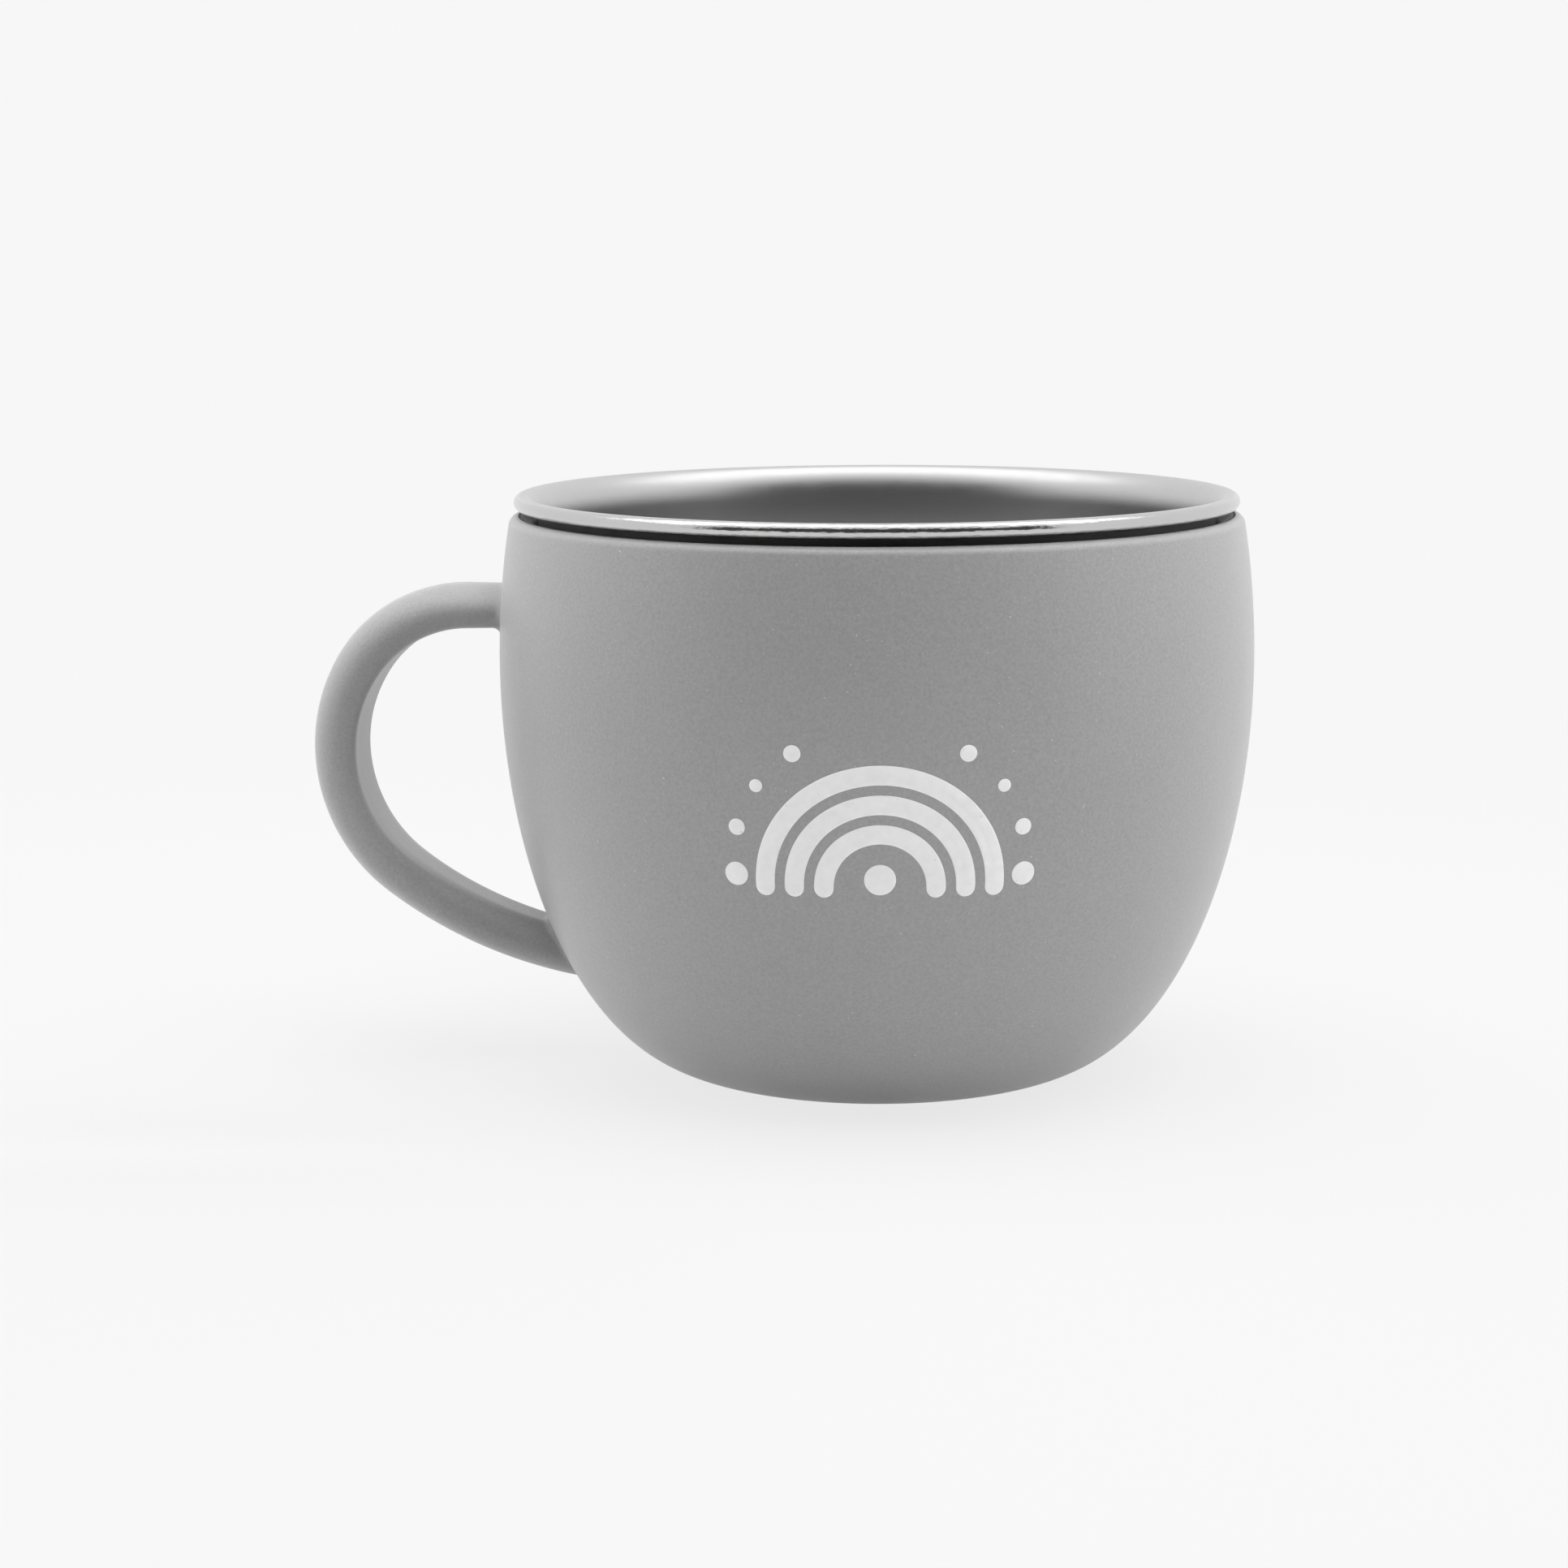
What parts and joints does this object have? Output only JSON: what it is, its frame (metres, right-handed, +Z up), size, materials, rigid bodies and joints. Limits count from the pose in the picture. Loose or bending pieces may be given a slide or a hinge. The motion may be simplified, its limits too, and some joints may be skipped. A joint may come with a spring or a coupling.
{
  "type": "baby cup",
  "caption": "Round-bellied baby cup: a drawn steel liner with a rolled rim stands in a soft moulded sleeve whose bowed handle is part of the same moulding.",
  "frame": {"origin": "centre of the flat foot, on the surface that the cup stands on", "axes": "+Z up along the cup's axis, handle towards -X, the pictured side towards -Y"},
  "size_m": [0.1086, 0.086, 0.0661],
  "materials": {
    "silicone": "matt moulded silicone, plain grey, with a fine even grain",
    "steel": "drawn stainless steel, satin turned inside, brighter on the rolled rim"
  },
  "bodies": {
    "sleeve": {"silicone_sleeve": "silicone"},
    "liner": {"steel_liner": "steel"}
  },
  "joints": [
    {"name": "liner_lift", "type": "slide", "parent": "sleeve", "child": "liner", "axis": [0, 0, 1], "range_m": [0, 0.065]}
  ]
}
